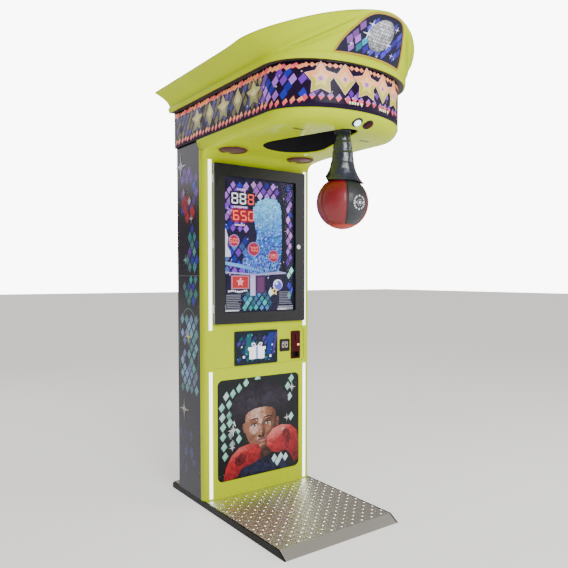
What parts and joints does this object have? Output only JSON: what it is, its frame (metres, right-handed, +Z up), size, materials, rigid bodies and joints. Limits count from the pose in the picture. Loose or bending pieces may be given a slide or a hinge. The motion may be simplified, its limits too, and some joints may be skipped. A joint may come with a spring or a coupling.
{
  "type": "boxing punch machine",
  "caption": "Coin-operated boxing punch machine with tread-plate platform, hinged screen door and an overhanging hood carrying a swinging punch ball.",
  "frame": {"origin": "on the floor under the middle of the whole machine's footprint", "axes": "+Z up; -Y is the player's side, where the ramp and the ball are; +X is to the player's right as they face the screen"},
  "size_m": [0.9, 1.356, 2.214],
  "materials": {
    "lime_moulding": "gloss",
    "tread_aluminium": "raised tread pattern, satin",
    "black_trim": "satin",
    "rubber_pads": "matte",
    "painted_steel": "powder coat",
    "printed_boards": "printed film, satin",
    "black_board": "painted, satin",
    "light_tubes": "lit from inside, emissive",
    "prize_print": "gloss print, emissive",
    "circuit_board": "solder mask",
    "credit_display": "gloss",
    "validator_plastic": "satin",
    "dark_plastic": "fine texture",
    "lit_red_plastic": "lit from inside, emissive",
    "zinc_steel": "zinc plated",
    "picture_print": "gloss print",
    "dark_frame": "satin",
    "screen_glass": "clear",
    "bright_steel": "ground",
    "lock_chrome": "polished",
    "lit_button": "lit from inside, emissive",
    "red_button": "gloss",
    "speaker_cone": "satin cone",
    "band_print": "backlit print, emissive",
    "medallion_print": "gloss print",
    "arm_steel": "powder coat",
    "sleeve_leather": "black leather, soft sheen",
    "ball_foam": "packed foam",
    "ball_leather": "red and black panels"
  },
  "bodies": {
    "cabinet": {"base_frame": "painted_steel", "tread_plate": "tread_aluminium", "edge_trim_left": "black_trim", "edge_trim_right": "black_trim", "floor_pads": "rubber_pads", "cabinet_frame": "painted_steel", "side_board_left": "printed_boards", "side_board_right": "printed_boards", "rear_board": "black_board", "front_moulding": "lime_moulding", "led_tube_upper_left": "light_tubes", "led_tube_upper_right": "light_tubes", "led_tube_lower_left": "light_tubes", "led_tube_lower_right": "light_tubes", "coin_panel": "lime_moulding", "prize_display": "prize_print", "prize_board": "circuit_board", "credit_display": "credit_display", "validator_plate": "validator_plastic", "coin_mechanism": "dark_plastic", "coin_chute": "zinc_steel", "cash_box": "zinc_steel", "picture_panel": "picture_print", "door_hinges": "zinc_steel", "door_hinge_pin": "bright_steel", "rear_hinges": "zinc_steel", "power_inlet": "dark_plastic", "power_supply": "zinc_steel", "main_board": "circuit_board", "header_frame": "painted_steel", "header_tray": "lime_moulding", "button_sockets": "dark_plastic", "speaker_left": "speaker_cone", "speaker_right": "speaker_cone", "ball_well": "dark_plastic", "header_deck": "black_board", "lit_band": "band_print", "band_lamps": "light_tubes", "hood": "lime_moulding", "medallion": "medallion_print", "pivot_bearings": "bright_steel", "speed_sensor": "dark_plastic", "latch_solenoid": "arm_steel"},
    "screen_door": {"door_frame": "dark_frame", "door_glass": "screen_glass", "display_board": "circuit_board", "door_lock_barrel": "lock_chrome"},
    "door_lock": {"door_lock_cam": "lock_chrome"},
    "rear_door": {"rear_door": "dark_frame", "vent_grille": "dark_frame"},
    "rear_lock": {"rear_lock_cam": "lock_chrome"},
    "punch_arm": {"pivot_shaft": "bright_steel", "ball_arm": "arm_steel", "arm_sleeve": "sleeve_leather", "ball_core": "ball_foam", "ball_cover": "ball_leather"},
    "start_button": {"start_button": "lit_button"},
    "select_button": {"select_button": "red_button"},
    "coin_return": {"coin_return_button": "lit_red_plastic"},
    "latch": {"latch_pin": "bright_steel"}
  },
  "joints": [
    {"name": "arm_swing", "type": "hinge", "parent": "cabinet", "child": "punch_arm", "pos_m": [0, -0.382, 1.887], "axis": [1, 0, 0], "range_deg": [-12, 90]},
    {"name": "screen_door_hinge", "type": "hinge", "parent": "cabinet", "child": "screen_door", "pos_m": [-0.276, 0.283, 1.336], "axis": [0, 0, -1], "range_deg": [0, 90]},
    {"name": "door_lock_turn", "type": "hinge", "parent": "screen_door", "child": "door_lock", "pos_m": [0.238, 0.283, 1.338], "axis": [0, -1, 0], "range_deg": [0, 90]},
    {"name": "rear_door_hinge", "type": "hinge", "parent": "cabinet", "child": "rear_door", "pos_m": [-0.241, 0.5962, 0.825], "axis": [0, 0, 1], "range_deg": [0, 110]},
    {"name": "rear_lock_turn", "type": "hinge", "parent": "rear_door", "child": "rear_lock", "pos_m": [0.214, 0.585, 0.825], "axis": [0, -1, 0], "range_deg": [0, 90]},
    {"name": "start_button_press", "type": "slide", "parent": "cabinet", "child": "start_button", "axis": [0, 0.5514, 0.8342], "range_m": [0, 0.004], "stiffness_N_per_m": 400},
    {"name": "select_button_press", "type": "slide", "parent": "cabinet", "child": "select_button", "axis": [0, 0.5514, 0.8342], "range_m": [0, 0.004], "stiffness_N_per_m": 400},
    {"name": "coin_return_press", "type": "slide", "parent": "cabinet", "child": "coin_return", "axis": [0, 1, 0], "range_m": [0, 0.004], "stiffness_N_per_m": 400},
    {"name": "latch_slide", "type": "slide", "parent": "cabinet", "child": "latch", "axis": [1, 0, 0], "range_m": [0, 0.016], "stiffness_N_per_m": 300}
  ]
}
